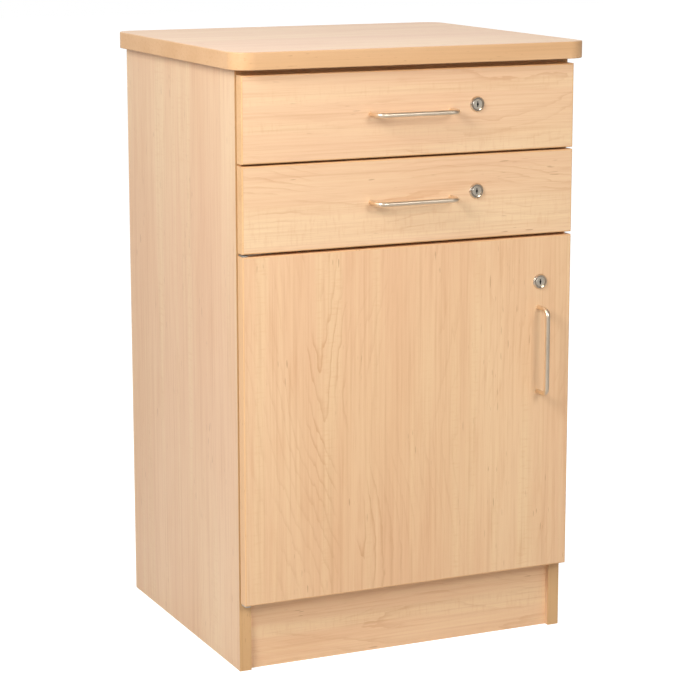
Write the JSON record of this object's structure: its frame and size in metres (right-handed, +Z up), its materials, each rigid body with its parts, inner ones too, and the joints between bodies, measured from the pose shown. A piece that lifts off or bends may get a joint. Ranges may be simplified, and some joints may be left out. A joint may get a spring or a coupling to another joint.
{
  "type": "bedside cabinet",
  "caption": "Bedside cabinet in wood-grain board: drawers on ball-bearing slides over a hinged cupboard door, bar handles and cam locks, overhanging worktop, recessed plinth.",
  "frame": {"origin": "on the floor, under the centre of the overall bounding box", "axes": "+X to the right as seen from the front, +Y to the back, +Z up"},
  "size_m": [0.56, 0.515, 0.9],
  "materials": {
    "maple_board": "satin laminate",
    "maple_edging": "satin",
    "drawer_box_board": "satin laminate",
    "back_board": "matt",
    "satin_steel": "satin",
    "lock_nickel": "satin nickel plate",
    "zinc_steel": "zinc plated",
    "nylon": "matt"
  },
  "bodies": {
    "carcass": {"back_panel": "back_board", "base_panel": "maple_board", "carcass_edging": "maple_edging", "divider_panel": "maple_board", "lower_pivot_bracket": "zinc_steel", "mid_rail": "maple_board", "panel_fittings": "zinc_steel", "pivot_screws": "zinc_steel", "plinth_front": "maple_board", "plinth_rear": "maple_board", "shelf": "maple_board", "shelf_pins": "zinc_steel", "side_edging": "maple_edging", "side_panel_left": "maple_board", "side_panel_right": "maple_board", "slide_outer_1": "zinc_steel", "slide_outer_2": "zinc_steel", "top_rail_front": "maple_board", "top_rail_rear": "maple_board", "upper_pivot_bracket": "zinc_steel", "worktop": "maple_board", "worktop_edging": "maple_edging", "worktop_screws": "zinc_steel"},
    "door": {"door_edging": "maple_edging", "door_handle": "satin_steel", "door_handle_screws": "zinc_steel", "door_lock_housing": "lock_nickel", "door_panel": "maple_board", "door_pivot_bushes": "nylon"},
    "door_lock": {"door_lock_plug": "lock_nickel", "door_lock_cam": "zinc_steel"},
    "drawer_1": {"drawer_1_back": "drawer_box_board", "drawer_1_edging": "maple_edging", "drawer_1_floor": "drawer_box_board", "drawer_1_front": "maple_board", "drawer_1_handle": "satin_steel", "drawer_1_handle_screws": "zinc_steel", "drawer_1_lock_housing": "lock_nickel", "drawer_1_sides": "drawer_box_board", "slide_inner_1": "zinc_steel"},
    "drawer_1_lock": {"drawer_1_lock_plug": "lock_nickel", "drawer_1_lock_cam": "zinc_steel"},
    "slide_middle_1": {"slide_middle_1": "zinc_steel"},
    "ball_cage_outer_1": {"ball_cage_outer_1": "zinc_steel"},
    "ball_cage_inner_1": {"ball_cage_inner_1": "zinc_steel"},
    "drawer_2": {"drawer_2_back": "drawer_box_board", "drawer_2_edging": "maple_edging", "drawer_2_floor": "drawer_box_board", "drawer_2_front": "maple_board", "drawer_2_handle": "satin_steel", "drawer_2_handle_screws": "zinc_steel", "drawer_2_lock_housing": "lock_nickel", "drawer_2_sides": "drawer_box_board", "slide_inner_2": "zinc_steel"},
    "drawer_2_lock": {"drawer_2_lock_plug": "lock_nickel", "drawer_2_lock_cam": "zinc_steel"},
    "slide_middle_2": {"slide_middle_2": "zinc_steel"},
    "ball_cage_outer_2": {"ball_cage_outer_2": "zinc_steel"},
    "ball_cage_inner_2": {"ball_cage_inner_2": "zinc_steel"}
  },
  "joints": [
    {"name": "drawer_1_slide", "type": "slide", "parent": "carcass", "child": "drawer_1", "axis": [0, -1, 0], "range_m": [0, 0.35]},
    {"name": "slide_middle_1_slide", "type": "slide", "parent": "carcass", "child": "slide_middle_1", "axis": [0, -1, 0], "range_m": [0, 0.175]},
    {"name": "ball_cage_outer_1_slide", "type": "slide", "parent": "carcass", "child": "ball_cage_outer_1", "axis": [0, -1, 0], "range_m": [0, 0.0875]},
    {"name": "ball_cage_inner_1_slide", "type": "slide", "parent": "carcass", "child": "ball_cage_inner_1", "axis": [0, -1, 0], "range_m": [0, 0.2625]},
    {"name": "drawer_1_lock_turn", "type": "hinge", "parent": "drawer_1", "child": "drawer_1_lock", "pos_m": [0.1037, -0.2255, 0.81325], "axis": [0, 1, 0], "range_deg": [0, 90]},
    {"name": "drawer_2_slide", "type": "slide", "parent": "carcass", "child": "drawer_2", "axis": [0, -1, 0], "range_m": [0, 0.35]},
    {"name": "slide_middle_2_slide", "type": "slide", "parent": "carcass", "child": "slide_middle_2", "axis": [0, -1, 0], "range_m": [0, 0.175]},
    {"name": "ball_cage_outer_2_slide", "type": "slide", "parent": "carcass", "child": "ball_cage_outer_2", "axis": [0, -1, 0], "range_m": [0, 0.0875]},
    {"name": "ball_cage_inner_2_slide", "type": "slide", "parent": "carcass", "child": "ball_cage_inner_2", "axis": [0, -1, 0], "range_m": [0, 0.2625]},
    {"name": "drawer_2_lock_turn", "type": "hinge", "parent": "drawer_2", "child": "drawer_2_lock", "pos_m": [0.1037, -0.2255, 0.68675], "axis": [0, 1, 0], "range_deg": [0, 90]},
    {"name": "door_swing", "type": "hinge", "parent": "carcass", "child": "door", "pos_m": [-0.258, -0.218, 0.3585], "axis": [0, 0, -1], "range_deg": [0, 180]},
    {"name": "door_lock_turn", "type": "hinge", "parent": "door", "child": "door_lock", "pos_m": [0.212, -0.2255, 0.5448], "axis": [0, 1, 0], "range_deg": [0, 90]}
  ],
  "couplings": [
    {"joint": "slide_middle_1_slide", "follows": "drawer_1_slide", "ratio": 0.5},
    {"joint": "ball_cage_outer_1_slide", "follows": "drawer_1_slide", "ratio": 0.25},
    {"joint": "ball_cage_inner_1_slide", "follows": "drawer_1_slide", "ratio": 0.75},
    {"joint": "slide_middle_2_slide", "follows": "drawer_2_slide", "ratio": 0.5},
    {"joint": "ball_cage_outer_2_slide", "follows": "drawer_2_slide", "ratio": 0.25},
    {"joint": "ball_cage_inner_2_slide", "follows": "drawer_2_slide", "ratio": 0.75}
  ]
}
